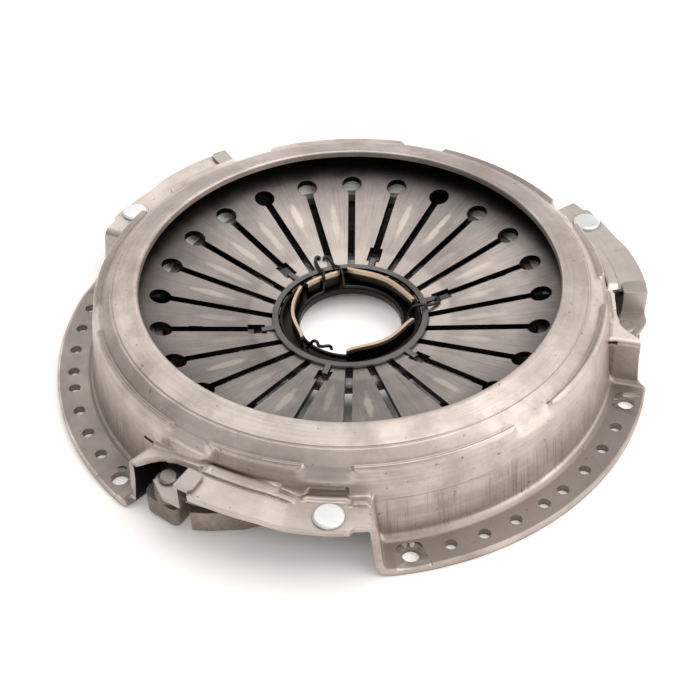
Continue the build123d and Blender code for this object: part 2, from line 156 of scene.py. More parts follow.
def smooth(x, a, b):
    """0 below a and 1 above b, eased between them."""
    t = np.clip((x - a) / (b - a), 0, 1)
    return t * t * (3 - 2 * t)


def plateau(x, a, b, soft):
    """1 from a to b, with eased edges of width soft."""
    return smooth(x, a - soft / 2, a + soft / 2) * (1 - smooth(x, b - soft / 2, b + soft / 2))


def round_axis(r, turn, z):
    return np.stack([r * np.cos(turn), r * np.sin(turn), z], axis=-1)


def turned_by(points, a):
    c, s = math.cos(math.radians(a)), math.sin(math.radians(a))
    return [(x * c - y * s, x * s + y * c) for x, y in points]


def circle(r, a, radius, count):
    """Outline of a hole whose middle is at radius r and angle a."""
    x, y = r * math.cos(math.radians(a)), r * math.sin(math.radians(a))
    turns = [2 * math.pi * k / count for k in range(count)]
    return [(x + radius * math.cos(t), y + radius * math.sin(t)) for t in turns]


def prism(outline, z0, z1):
    """Vertices and faces of an upright block with the given outline, in millimetres."""
    n = len(outline)
    verts = [(x, y, z0) for x, y in outline] + [(x, y, z1) for x, y in outline]
    faces = [list(range(n))[::-1], list(range(n, 2 * n))]
    faces += [[k, (k + 1) % n, n + (k + 1) % n, n + k] for k in range(n)]
    return verts, faces


def make(name, mesh):
    obj = bpy.data.objects.new(name, mesh)
    bpy.context.scene.collection.objects.link(obj)
    return obj


def torus_mesh(name, grid):
    """A closed mesh from a grid of points that wraps round both ways."""
    n, m, _ = grid.shape
    i, j = np.meshgrid(np.arange(n), np.arange(m), indexing="ij")
    i2, j2 = (i + 1) % n, (j + 1) % m
    quads = np.stack([i * m + j, i2 * m + j, i2 * m + j2, i * m + j2], axis=-1).reshape(-1, 4)
    mesh = bpy.data.meshes.new(name)
    mesh.from_pydata((grid.reshape(-1, 3) * MM).tolist(), [], quads.tolist())
    mesh.validate()
    return make(name, mesh)


def closed_mesh(name, verts, faces):
    """An object from points in millimetres, with its faces turned outward."""
    mesh = bpy.data.meshes.new(name)
    mesh.from_pydata([(x * MM, y * MM, z * MM) for x, y, z in verts], [], faces)
    bm = bmesh.new()
    bm.from_mesh(mesh)
    bmesh.ops.recalc_face_normals(bm, faces=bm.faces)
    bm.to_mesh(mesh)
    bm.free()
    return make(name, mesh)


def cut(obj, blocks):
    """Takes the blocks out of obj and keeps the result as its mesh."""
    verts, faces = [], []
    for corners, sides in blocks:
        faces += [[len(verts) + k for k in side] for side in sides]
        verts += corners
    cutter = closed_mesh(obj.name + "_cut", verts, faces)
    mod = obj.modifiers.new("cut", "BOOLEAN")
    mod.operation, mod.solver, mod.object = "DIFFERENCE", "MANIFOLD", cutter
    bpy.context.view_layer.update()
    done = bpy.data.meshes.new_from_object(obj.evaluated_get(bpy.context.evaluated_depsgraph_get()))
    obj.modifiers.clear()
    obj.data = done
    bpy.data.objects.remove(cutter)
    return obj


def soften(obj, degrees):
    """Smooth shading, with edges sharper than the given angle kept."""
    for face in obj.data.polygons:
        face.use_smooth = True
    obj.data.set_sharp_from_angle(angle=math.radians(degrees))
    return obj


def in_sector(angle):
    """The same angle counted from the middle of its own third, from -60 to 60."""
    return (angle + 60) % 120 - 60


def spring_top(r):
    """Height of the spring's upper face."""
    return HUB_Z + (RIM_Z - HUB_Z) * (r - HUB_R) / (SPRING_R - HUB_R)


# Pressed cover: one sheet whose height out from the wall changes round the rim
def rim_path():
    """Angle, sheet height and outer radius all round, close together where the sheet rises."""
    arc = BOLT_R * math.radians(1)
    knots = [(c + a, z, bend) for c in SECTORS for a, z, bend in SECTOR_LINE]
    knots = [(SECTORS[0] - 60, FLANGE_T, 0)] + knots + [(SECTORS[0] + 300, FLANGE_T, 0)]
    path = rounded([(a * arc, z, bend) for a, z, bend in knots], BEND_STEP)
    dense = [path[0]]
    for p in path[1:]:
        start = dense[-1]
        flat = abs(p[1] - FLANGE_T) < 0.01 and abs(start[1] - FLANGE_T) < 0.01
        n = max(1, math.ceil(np.linalg.norm(p - start) / (FLAT_STEP if flat else RISE_STEP)))
        dense += [start + (p - start) * k / n for k in range(1, n + 1)]
    dense = np.array(dense)[:-1]
    angle, height = dense[:, 0] / arc, dense[:, 1]
    extra = np.array([c + a for c in SECTORS for a in LEDGE_END])
    height = np.concatenate([height, np.interp(extra, angle, height)])
    angle = np.concatenate([angle, extra])
    reach = np.interp(in_sector(angle), *zip(*SECTOR_EDGE))
    order = np.argsort(angle)
    order = order[np.concatenate([[True], np.diff(angle[order]) > 0.01])]
    return angle[order], height[order], reach[order]


def crown_line():
    """Radius and height along the crown, from the inner edge of the mouth to the neck of the wall."""
    corners = [
        (MOUTH_R, COVER_H - SHEET, 0), (MOUTH_R, COVER_H, 2.2), (CROWN_FLAT, COVER_H, 25),
        (CROWN_R + 0.6, CROWN_EDGE_Z, 3), (RIB_R, RIB_Z, 7), (WALL_R - 0.6, NECK_Z + 2.5, 14),
        (WALL_R, SKIRT_TOP, 0),
    ]
    return spread(rounded(corners, PROFILE_STEP), CROWN_ROWS)


def skirt_line(a, h, out):
    """Radius and height from the neck out to the edge, at angle a with the sheet at height h."""
    foot = WALL_R + (FOOT_R - WALL_R) / (NECK_Z - FLANGE_T) * (NECK_Z - h)
    low = h < SKIRT_TOP - 4
    step = STEP_H * plateau(a, *STEP_SPAN, 2.0) + PAD_STEP_H * plateau(a, *PAD_STEP_SPAN, 1.2)
    plain = step < 0.05 and (low or a < STEP_SPAN[0])
    corners = [(WALL_R, SKIRT_TOP, 0)]
    if plain or low:
        corners.append((foot, h, min(6.0, 0.6 * (SKIRT_TOP - h))))
    else:
        corners.append((WALL_R + 2.0, max(h + step, SKIRT_TOP - 1.5), 2.5))
    if not plain:
        corners += [(foot + apart, h + share * step, bend) for apart, share, bend in TERRACE]
    corners.append((max(out, corners[-1][0] + 0.4), h, 0))
    return spread(rounded(corners, PROFILE_STEP), SKIRT_ROWS)


def rib_mask(a, soft):
    return sum(plateau(a, start, end, soft) for start, end in RIB_SPANS)


def raised(a, r, z):
    """How far the nine arcs on the shoulder stand out and the groove round the crown lies in."""
    along = np.hypot(r - RIB_R, z - RIB_Z) * np.sign(r - RIB_R)
    bead = RIB_H * smooth(along, -1.2, -0.6) * (1 - smooth(along, -0.4, 12.0))
    fade = smooth(along, -0.2, 3.0)
    groove = -GROOVE_DEPTH * np.exp(-((r - GROOVE_R) / GROOVE_W) ** 2) * (z > CROWN_EDGE_Z - 3)
    return (rib_mask(a, 0.5) * (1 - fade) + rib_mask(a, 3.0) * fade) * bead + groove


def pressed_out(a, r, z):
    """How far the wall is moved out from the axis."""
    # pocket behind the rivet head
    pocket = -POCKET_DEPTH * plateau(a, *POCKET_SPAN, 1.0)
    pocket = pocket * plateau(z, PAD_TOP + 0.3, NECK_Z - 2.2, 2.6) * (r < WALL_R + 14)
    # turned lip over the window
    lip = LIP_OUT * plateau(a, *LIP_SPAN, 0.8) * plateau(z, *LIP_HEIGHTS, 1.0) * (r > WALL_R - 4)
    # line that the drawing tool left on the wall beyond the pad
    drawn = -DRAWN_DEPTH * plateau(a, *DRAWN_SPAN, 5.0)
    drawn = drawn * (1 - smooth(z, 41.3, 42.3)) * smooth(z, 14, 26)
    return pocket + lip + drawn


def pressed_up(a, r, z):
    """How far the fold in front of the rivet pocket stands up."""
    fold = FOLD_H * plateau(a, *FOLD_SPAN, 0.8) * plateau(r, *FOLD_RADII, 2.6)
    return fold * (z < PAD_TOP + 4) * (z > PAD_TOP - 2)


def sheet_back(skin):
    """Inside of the sheet, one thickness behind its skin."""
    sideways = np.roll(skin, -1, axis=0) - np.roll(skin, 1, axis=0)
    normal = np.cross(np.gradient(skin, axis=1), sideways)
    normal /= np.maximum(np.linalg.norm(normal, axis=-1, keepdims=True), 1e-9)
    back = skin - SHEET * normal
    # the flange is thicker than the sheet, down to the mounting plane
    thicker = FLANGE_T - SHEET
    z = back[:, :, 2] - thicker * (1 - smooth(back[:, :, 2], thicker, 2 * FLANGE_T))
    z = np.maximum(z, 0.0)
    # bead under the crown that the rim of the spring tilts on
    far = np.hypot(back[:, :, 0], back[:, :, 1])
    on_bead = (far > CROWN_R - 4.5) & (far < CROWN_R + 2) & (z > RIM_Z)
    back[:, :, 2] = np.where(on_bead, spring_top(far) + 0.05, z)
    return back


def slit(a):
    """Narrow slot through the wall, as a block along the radius."""
    half, high, tilt, deep = 8.5, 1.3, 0.75, 8
    flat = half - 1.2
    end = [(-half, 0), (-flat, high), (flat, high), (half, 0), (flat, -high), (-flat, -high)]
    verts = []
    for r in (WALL_R - deep, WALL_R + deep):
        for t, z in end:
            x, y = turned_by([(r, t)], a)[0]
            verts.append((x, y, SLIT_Z + z + tilt * t / half))
    n = len(end)
    faces = [list(range(n)), list(range(n, 2 * n))[::-1]]
    faces += [[k, n + k, n + (k + 1) % n, (k + 1) % n] for k in range(n)]
    return verts, faces


def pad_recess(a):
    """Shallow seat round a bolt hole with the hole itself, as one stepped block."""
    near, far, slim, wide = BOLT_R - 9.5, FLANGE_R + 2, 8.5, 13.5
    corners = [(near, 0, 0), (near, -slim, 4), (far, -wide, 0)]
    corners += [(far, wide, 0), (near, slim, 4), (near, 0, 0)]
    seat = rounded(corners, 0.8)[:-1]
    hole = circle(BOLT_R, 0, BOLT_HOLE, BOLT_SIDES)
    floor_z = FLANGE_T - SEAT_DEPTH
    bm = bmesh.new()
    rings = []
    for outline, z in ((seat, FLANGE_T + 4), (seat, floor_z), (hole, floor_z), (hole, HOLE_LOW)):
        rings.append([bm.verts.new((x, y, z)) for x, y in outline])
    top, rim, mouth, end = rings
    bm.faces.new(top)
    for p, q in ((top, rim), (mouth, end)):
        for k in range(len(p)):
            bm.faces.new((p[k], q[k], q[(k + 1) % len(p)], p[(k + 1) % len(p)]))
    bm.faces.new(end[::-1])
    edges = [bm.edges.get((r[k], r[(k + 1) % len(r)])) for r in (rim, mouth) for k in range(len(r))]
    bmesh.ops.triangle_fill(bm, use_beauty=True, edges=edges)
    bm.verts.index_update()
    spin = Matrix.Rotation(math.radians(a), 3, "Z")
    verts = [tuple(spin @ v.co) for v in bm.verts]
    faces = [[v.index for v in f.verts] for f in bm.faces]
    bm.free()
    return verts, faces


def build_cover():
    angle, height, reach = rim_path()
    local, turn = in_sector(angle), np.radians(angle)[:, None]
    crown = crown_line()[:-1]
    columns = zip(local, height, reach)
    line = np.array([np.concatenate([crown, skirt_line(*column)]) for column in columns])
    a, r, z = local[:, None], line[:, :, 0], line[:, :, 1]
    ahead = np.gradient(line, axis=1)
    length = np.maximum(np.hypot(ahead[:, :, 0], ahead[:, :, 1]), 1e-6)
    lift = raised(a, r, z)
    lift_r, lift_z = -ahead[:, :, 1] / length * lift, ahead[:, :, 0] / length * lift
    r, z = r + pressed_out(a, r, z), z + pressed_up(a, r, z)
    skin = round_axis(r + lift_r, turn, z + lift_z)
    back = sheet_back(round_axis(r, turn, z))
    count = skin.shape[1]
    rows = [j for j in range(0, count, BACK_EVERY) if line[0, j, 0] > MOUTH_R + SHEET] + [count - 1]
    grid = np.concatenate([skin, back[:, rows[::-1]]], axis=1)
    obj = torus_mesh("cover_sheet", grid)
    # outside and inside of the sheet take two materials
    for _ in range(2):
        obj.data.materials.append(None)
    for face in obj.data.polygons:
        face.material_index = int(face.index % grid.shape[1] >= count)
    blocks = []
    for c in SECTORS:
        for d in SMALL_AT:
            hole = circle(SMALL_R, c + 60 + d, SMALL_HOLE, SMALL_SIDES)
            blocks.append(prism(hole, HOLE_LOW, HOLE_HIGH))
        blocks.append(slit(c + SLIT_AT))
    blocks += [pad_recess(a) for a in BOLT_AT]
    return cut(obj, blocks)


cover = soften(build_cover(), 24)
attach(cover, "cover_body")
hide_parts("cover")


# Diaphragm spring: a slotted cone
def key_slot(a, wide):
    """Slot between two fingers with its key-hole, as an upright block; wide ones take a collar tab."""
    half = SLOT_W / 2
    reach = math.sqrt(KEY_R ** 2 - half ** 2)
    side = [(SLOT_FROM, -half)]
    if wide:
        side += [(TAB_FROM, -half), (TAB_FROM, -TAB_SLOT_W / 2)]
        side += [(TAB_TO, -TAB_SLOT_W / 2), (TAB_TO, -half)]
    side.append((KEY_AT - reach, -half))
    begin = math.pi + math.asin(half / KEY_R)
    sweep = 2 * math.pi - 2 * math.asin(half / KEY_R)
    ring = [begin + sweep * k / KEY_POINTS for k in range(1, KEY_POINTS)]
    ring = [(KEY_AT + KEY_R * math.cos(t), KEY_R * math.sin(t)) for t in ring]
    outline = side + ring + [(x, -y) for x, y in reversed(side)]
    return prism(turned_by(outline, a), SLOT_LOW, SLOT_HIGH)


def build_spring():
    depth = SPRING_T * math.hypot(1, (RIM_Z - HUB_Z) / (SPRING_R - HUB_R))
    radii = np.linspace(TIP_R, SPRING_R, SPRING_ROWS)
    loop = [(r, spring_top(r)) for r in radii] + [(r, spring_top(r) - depth) for r in radii[::-1]]
    turns = np.radians(np.arange(0, 360, 1.0))
    grid = np.array([[(r * math.cos(t), r * math.sin(t), z) for r, z in loop] for t in turns])
    obj = torus_mesh("spring_disc", grid)
    step = 360 / FINGERS
    return cut(obj, [key_slot(SLOT_PHASE + step * k, k % TAB_EVERY == 0) for k in range(FINGERS)])


spring = soften(build_spring(), 30)
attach(spring, "cover_body")
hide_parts("diaphragm_spring")
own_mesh(spring)


# Leaf packs: thin springs that bend between the lug of the plate and the pad of the cover
def at_polar(r, a):
    return Vector((r * math.cos(math.radians(a)), r * math.sin(math.radians(a)), 0))


def build_leaf(c, layer, name):
    ear, pad = at_polar(EAR_AT[0], c + EAR_AT[1]), at_polar(PAD_AT[0], c + PAD_AT[1])
    along = (pad - ear).normalized()
    across = Vector((-along.y, along.x, 0))
    half, end = (pad - ear).length / 2, LEAF_W / 2
    middle = (ear + pad) / 2
    climb = 2 * half - LEAF_FLAT - end
    tips = end * (1 - np.cos(np.linspace(0.12, math.pi / 2, LEAF_TIP_ROWS)))
    straight = np.linspace(-half + 2, half - 2, LEAF_ROWS)
    skin = []
    for x in np.concatenate([-half - end + tips, straight, (half + end - tips)[::-1]]):
        over = max(0.0, abs(x) - half)
        w = math.sqrt(max(end ** 2 - over ** 2, 0.0))
        rise = float(np.clip((x + half - LEAF_FLAT) / climb, 0, 1))
        z = EAR_TOP + LEAF_FALL * rise + layer * LEAF_T
        skin.append([(x, w * k / LEAF_SIDE, z) for k in range(-LEAF_SIDE, LEAF_SIDE + 1)])
    skin = np.array(skin)
    n, m, _ = skin.shape
    verts = []
    for lift in (LEAF_T, 0.0):
        for x, y, z in skin.reshape(-1, 3):
            p = middle + along * x + across * y
            verts.append((p.x, p.y, z + lift))
    faces, base = [], n * m
    for i in range(n - 1):
        for j in range(m - 1):
            q = [i * m + j, (i + 1) * m + j, (i + 1) * m + j + 1, i * m + j + 1]
            faces += [q, [base + k for k in reversed(q)]]
    ring = [(i, 0) for i in range(n)] + [(n - 1, j) for j in range(1, m)]
    ring += [(i, m - 1) for i in range(n - 2, -1, -1)] + [(0, j) for j in range(m - 2, 0, -1)]
    ring = [i * m + j for i, j in ring]
    for p, q in zip(ring, ring[1:] + ring[:1]):
        faces.append([p, base + p, base + q, q])
    obj = soften(closed_mesh(name, verts, faces), 40)
    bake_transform(obj)
    return obj


leaves = []
for number, c in enumerate(SECTORS, 1):
    for layer in range(LEAF_LAYERS):
        blade = build_leaf(c, layer, "leaf_blade_%d_%d" % (number, layer + 1))
        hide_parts("leaf_%d_%d" % (number, layer + 1))
        leaves.append(blade)


# Camera at the photograph's place
CAM_RISE, CAM_ROLL, CAM_TURN = math.radians(41.925), math.radians(-1.9146), math.radians(-9.0)
CAM_SHIFT = Vector((9.14, 5.415, 1109.237)) * MM
LENS, SENSOR = 71.7, 36.0


def add_camera():
    fwd = Vector((0, math.cos(CAM_RISE), -math.sin(CAM_RISE)))
    side, down = Vector((1, 0, 0)), Vector((0, -math.sin(CAM_RISE), -math.cos(CAM_RISE)))
    right = math.cos(CAM_ROLL) * side - math.sin(CAM_ROLL) * down
    drop = math.sin(CAM_ROLL) * side + math.cos(CAM_ROLL) * down
    place = -(right * CAM_SHIFT.x + drop * CAM_SHIFT.y + fwd * CAM_SHIFT.z)
    turn = Matrix.Rotation(CAM_TURN, 3, "Z")
    data = bpy.data.cameras.new("camera")
    data.lens, data.sensor_width, data.sensor_fit = LENS, SENSOR, "HORIZONTAL"
    data.clip_start, data.clip_end = 0.01, 50
    matrix = Matrix((turn @ right, turn @ -drop, turn @ -fwd)).transposed().to_4x4()
    matrix.translation = turn @ place
    cam = make("camera", data)
    cam.matrix_world = matrix
    bpy.context.scene.camera = cam


add_camera()


# Materials
class Paint:
    """A material's node tree with short calls."""

    def __init__(self, name):
        self.mat = bpy.data.materials.new(name)
        self.mat.use_nodes = True
        self.tree = self.mat.node_tree
        self.shader = self.tree.nodes["Principled BSDF"]
        self.coords = self.tree.nodes.new("ShaderNodeTexCoord").outputs["Object"]

    def node(self, kind, **values):
        n = self.tree.nodes.new(kind)
        for k, v in values.items():
            setattr(n, k, v)
        return n

    def link(self, a, b):
        self.tree.links.new(a, b)

    def feed(self, value, socket):
        """Links socket to value where that is a socket too, or else sets it to the number or colour."""
        if isinstance(value, bpy.types.NodeSocket):
            self.link(value, socket)
        elif isinstance(value, (int, float)):
            socket.default_value = value
        else:
            socket.default_value = (*value, 1)

    def noise(self, scale, detail, rough=0.55, at=None):
        n = self.node("ShaderNodeTexNoise")
        n.inputs["Scale"].default_value = scale
        n.inputs["Detail"].default_value = detail
        n.inputs["Roughness"].default_value = rough
        self.link(at or self.coords, n.inputs["Vector"])
        return n.outputs["Fac"]

    def math(self, what, a, b):
        n = self.node("ShaderNodeMath", operation=what)
        self.feed(a, n.inputs[0])
        self.feed(b, n.inputs[1])
        return n.outputs[0]

    def times(self, value, factor):
        return self.math("MULTIPLY", value, factor)

    def band(self, value, a, b, soft):
        """1 between a and b, falling off over soft."""
        up = self.node("ShaderNodeMapRange", interpolation_type="SMOOTHSTEP")
        down = self.node("ShaderNodeMapRange", interpolation_type="SMOOTHSTEP")
        for n, lo, hi in ((up, a - soft, a), (down, b + soft, b)):
            n.inputs["From Min"].default_value = lo
            n.inputs["From Max"].default_value = hi
            self.link(value, n.inputs["Value"])
        return self.times(up.outputs[0], down.outputs[0])

    def polar(self):
        """Distance from the axis, angle round it, height, and the unit direction out from it."""
        split = self.node("ShaderNodeSeparateXYZ")
        self.link(self.coords, split.inputs[0])
        x, y, z = split.outputs
        r = self.math("POWER", self.math("ADD", self.times(x, x), self.times(y, y)), 0.5)
        return r, self.math("ARCTAN2", y, x), z, self.math("DIVIDE", x, r), self.math("DIVIDE", y, r)

    def vector(self, x, y, z):
        n = self.node("ShaderNodeCombineXYZ")
        for value, socket in zip((x, y, z), n.inputs):
            self.feed(value, socket)
        return n.outputs[0]

    def crevice(self, reach):
        """1 in narrow corners and 0 in the open."""
        n = self.node("ShaderNodeAmbientOcclusion", samples=4)
        n.inputs["Distance"].default_value = reach
        return self.ramp(n.outputs["AO"], [(0.4, 1.0), (0.86, 0.0)])

    def edges(self):
        """1 on convex outer edges, for rubbed wear and a painted edge highlight."""
        n = self.node("ShaderNodeNewGeometry")
        return self.ramp(n.outputs["Pointiness"], [(0.505, 0.0), (0.56, 1.0)])

    def ramp(self, fac, stops):
        """Grey level by fac, from stops of place and level."""
        n = self.node("ShaderNodeValToRGB")
        elements = n.color_ramp.elements
        while len(elements) < len(stops):
            elements.new(0.5)
        for element, (place, level) in zip(elements, stops):
            element.position = place
            element.color = (level, level, level, 1)
        self.link(fac, n.inputs["Fac"])
        return n.outputs["Color"]

    def mix(self, fac, a, b):
        n = self.node("ShaderNodeMix", data_type="RGBA")
        for value, socket in ((fac, n.inputs[0]), (a, n.inputs[6]), (b, n.inputs[7])):
            self.feed(value, socket)
        return n.outputs[2]

    def bump(self, fac, strength, distance, soft):
        """Fine relief, on edges that are rounded over soft."""
        n = self.node("ShaderNodeBump")
        n.inputs["Strength"].default_value = strength
        n.inputs["Distance"].default_value = distance
        self.link(fac, n.inputs["Height"])
        bevel = self.node("ShaderNodeBevel", samples=4)
        bevel.inputs["Radius"].default_value = soft
        self.link(bevel.outputs["Normal"], n.inputs["Normal"])
        self.link(n.outputs["Normal"], self.shader.inputs["Normal"])


# Near black for painted shade
SHADE_BLACK = (0.026, 0.022, 0.019)


def steel(name, dark, light, rough, metallic=1.0, scale=60.0, shade_band=None):
    """Mottled steel; the last argument names a distance or height band painted nearly black as shade.
    """
    p = Paint(name)
    wide = p.noise(scale * 0.22, 5)
    fine = p.noise(scale * 14, 3, 0.6)
    tone = p.mix(p.ramp(wide, [(0.32, 0.0), (0.68, 1.0)]), dark, light)
    tone = p.mix(p.ramp(fine, [(0.3, 0.0), (0.7, 0.16)]), tone, tuple(0.55 * c for c in dark))
    if shade_band:
        r, _, z, _, _ = p.polar()
        # painted shade: the band is painted nearly black
        tone = p.mix(p.band({"r": r, "z": z}[shade_band[0]], *shade_band[1:]), tone, SHADE_BLACK)
    p.link(tone, p.shader.inputs["Base Color"])
    p.shader.inputs["Metallic"].default_value = metallic
    p.link(p.ramp(wide, [(0.3, rough - 0.06), (0.7, rough + 0.07)]), p.shader.inputs["Roughness"])
    p.bump(fine, 0.12, 0.0002, 0.0007)
    return p.mat


def cover_steel():
    p = Paint("cover_steel")
    bare, pale, stain = (0.41, 0.35, 0.315), (0.64, 0.565, 0.52), (0.30, 0.25, 0.222)
    ringed, streaked, flange_shade = (0.27, 0.225, 0.2), (0.17, 0.135, 0.115), (0.21, 0.18, 0.16)
    bright, spotted = (0.70, 0.625, 0.575), (0.12, 0.09, 0.075)
    rubbed, crease_shade = (0.86, 0.79, 0.74), (0.06, 0.047, 0.04)
    r, _, z, ex, ey = p.polar()
    wide = p.noise(11, 5, 0.6)
    patch = p.noise(38, 6, 0.62)
    fine = p.noise(900, 3, 0.6)
    down = p.times(p.math("ADD", r, z), 800)
    rings = p.noise(1.0, 3, 0.6, p.vector(p.times(ex, 2.5), p.times(ey, 2.5), down))
    drawn = p.noise(1.0, 3, 0.65, p.vector(p.times(ex, 130), p.times(ey, 130), p.times(z, 12)))
    tone = p.mix(p.ramp(wide, [(0.34, 0.0), (0.66, 1.0)]), bare, pale)
    tone = p.mix(p.ramp(patch, [(0.46, 0.0), (0.72, 0.62)]), tone, stain)
    tone = p.mix(p.ramp(rings, [(0.4, 0.0), (0.72, 0.3)]), tone, ringed)
    # upright streaks low on the wall
    low = p.times(p.band(z, 0.010, 0.034, 0.012), p.ramp(drawn, [(0.5, 0.0), (0.72, 0.55)]))
    low = p.times(low, p.band(r, 0.195, 0.209, 0.002))
    tone = p.mix(low, tone, streaked)
    # painted shade: the flange top is darkened where it lies beside the wall and reflects it
    flange = p.times(p.band(z, -0.01, 0.0064, 0.002), p.times(p.band(r, 0.2, 0.2356, 0.0006), 0.85))
    tone = p.mix(flange, tone, flange_shade)
    # painted light: the top of the ledge is lightened
    ledge = p.times(p.band(z, 0.0455, 0.0575, 0.001), p.band(r, 0.2075, 0.24, 0.002))
    tone = p.mix(p.times(ledge, p.ramp(wide, [(0.3, 0.2), (0.7, 0.55)])), tone, bright)
    speck = p.ramp(p.noise(240, 2, 0.5), [(0.70, 0.0), (0.74, 0.6)])
    tone = p.mix(speck, tone, spotted)
    # painted highlight along convex edges above the flange, partly rubbed wear
    worn = p.times(p.edges(), p.band(z, 0.016, 0.1, 0.002))
    tone = p.mix(p.times(worn, 0.75), tone, rubbed)
    # painted shade in narrow corners and creases
    tone = p.mix(p.times(p.crevice(0.0035), 0.9), tone, crease_shade)
    p.link(tone, p.shader.inputs["Base Color"])
    p.shader.inputs["Metallic"].default_value = 0.8
    p.link(p.ramp(patch, [(0.3, 0.32), (0.7, 0.5)]), p.shader.inputs["Roughness"])
    p.bump(p.mix(0.5, fine, rings), 0.16, 0.0003, 0.0006)
    return p.mat


def spring_steel():
    p = Paint("spring_steel")
    dark, light, streaked = (0.265, 0.232, 0.214), (0.46, 0.405, 0.376), (0.13, 0.11, 0.1)
    rubbed, polished = (0.70, 0.62, 0.55), (0.52, 0.46, 0.42)
    shaded, edge_glint_and_wear = (0.04, 0.035, 0.032), (0.7, 0.64, 0.59)
    rub_at, rub_stray, rub_half_w, rub_half_l = 0.108, 0.026, 0.0036, 0.021
    r, a, _, ex, ey = p.polar()
    step = 2 * math.pi / FINGERS
    turn = p.math("DIVIDE", p.math("SUBTRACT", a, math.radians(SLOT_PHASE)), step)
    turn = p.math("ADD", turn, FINGERS)
    across = p.times(p.math("SUBTRACT", p.math("FRACT", turn, 0.0), 0.5), p.times(r, step))
    chance = p.node("ShaderNodeTexWhiteNoise", noise_dimensions="1D")
    p.link(p.math("MODULO", p.math("FLOOR", turn, 0.0), FINGERS), chance.inputs["W"])
    luck = chance.outputs["Value"]
    wide = p.noise(16, 5, 0.6)
    cloud = p.noise(70, 4, 0.6)
    fine = p.noise(900, 3, 0.6)
    brushed = p.noise(1.0, 3, 0.6, p.vector(p.times(ex, 90), p.times(ey, 90), p.times(r, 25)))
    tone = p.mix(p.ramp(wide, [(0.32, 0.0), (0.68, 1.0)]), dark, light)
    tone = p.mix(p.ramp(brushed, [(0.42, 0.0), (0.75, 0.35)]), tone, streaked)
    # rubbed patch in the middle of each finger and a worn band beside the collar
    middle = p.math("ADD", rub_at, p.times(p.math("SUBTRACT", luck, 0.5), rub_stray))
    u = p.math("DIVIDE", across, rub_half_w)
    v = p.math("DIVIDE", p.math("SUBTRACT", r, middle), rub_half_l)
    oval = p.math("ADD", p.times(u, u), p.times(v, v))
    oval = p.math("ADD", oval, p.times(p.math("SUBTRACT", cloud, 0.5), 1.9))
    rub = p.times(p.ramp(oval, [(0.3, 1.0), (0.95, 0.0)]), p.math("ADD", 0.1, p.times(luck, 0.55)))
    tone = p.mix(rub, tone, rubbed)
    worn = p.times(p.band(r, 0.055, 0.077, 0.006), 0.55)
    tone = p.mix(worn, tone, polished)
    tone = p.mix(p.times(p.band(r, 0.176, 0.3, 0.05), 0.85), tone, shaded)
    # painted highlight on convex edges, partly rubbed wear
    tone = p.mix(p.times(p.edges(), 0.3), tone, edge_glint_and_wear)
    # painted shade: the sides of the slots and the underside are painted nearly black by which way they
    # face
    facing = p.node("ShaderNodeSeparateXYZ")
    p.link(p.node("ShaderNodeNewGeometry").outputs["Normal"], facing.inputs[0])
    tone = p.mix(p.ramp(facing.outputs["Z"], [(0.6, 1.0), (0.85, 0.0)]), tone, SHADE_BLACK)
    p.link(tone, p.shader.inputs["Base Color"])
    p.shader.inputs["Metallic"].default_value = 1.0
    p.link(p.ramp(cloud, [(0.3, 0.32), (0.7, 0.46)]), p.shader.inputs["Roughness"])
    p.bump(p.mix(0.5, fine, brushed), 0.12, 0.0002, 0.0006)
    return p.mat


def cast_iron():
    p = Paint("cast_plate")
    dark, light, pitted = (0.22, 0.185, 0.155), (0.42, 0.36, 0.31), (0.10, 0.08, 0.066)
    turned_sheen_dark, turned_sheen_light = (0.70, 0.68, 0.66), (0.95, 0.94, 0.92)
    ground_dark, ground_light = (0.30, 0.285, 0.27), (0.46, 0.44, 0.42)
    r, _, z, ex, ey = p.polar()
    wide = p.noise(20, 5, 0.6)
    grain = p.noise(420, 5, 0.7)
    tone = p.mix(p.ramp(wide, [(0.32, 0.0), (0.68, 1.0)]), dark, light)
    tone = p.mix(p.ramp(grain, [(0.45, 0.0), (0.7, 0.45)]), tone, pitted)
    rings = p.noise(1.0, 2, 0.5, p.vector(p.times(ex, 2), p.times(ey, 2), p.times(r, 1500)))
    turned = p.mix(p.ramp(rings, [(0.35, 0.0), (0.65, 1.0)]), turned_sheen_dark, turned_sheen_light)
    ground = p.mix(p.ramp(rings, [(0.35, 0.0), (0.65, 1.0)]), ground_dark, ground_light)
    # painted highlight: the turned ridge is bare metal, given a near-white, mostly diffuse colour for
    # the light flash seen through the key-holes
    ridge = p.times(p.band(r, 0.1565, 0.172, 0.0008), p.band(z, 0.0385, 0.08, 0.0006))
    friction = p.band(z, -0.01, 0.0034, 0.0003)
    machined = p.math("MAXIMUM", ridge, friction)
    # painted shade: the plate's inner parts under the spring are painted nearly black
    inner_shade = p.times(p.band(r, 0.0, 0.1985, 0.003), p.band(z, 0.0045, 0.0375, 0.001))
    tone = p.mix(p.times(inner_shade, 0.9), tone, SHADE_BLACK)
    tone = p.mix(friction, tone, ground)
    p.link(p.mix(ridge, tone, turned), p.shader.inputs["Base Color"])
    p.link(p.mix(ridge, (0.8, 0.8, 0.8), (0.1, 0.1, 0.1)), p.shader.inputs["Metallic"])
    p.link(p.mix(machined, (0.62, 0.62, 0.62), (0.34, 0.34, 0.34)), p.shader.inputs["Roughness"])
    p.bump(grain, 0.35, 0.0004, 0.0008)
    return p.mat


cover_mat = cover_steel()
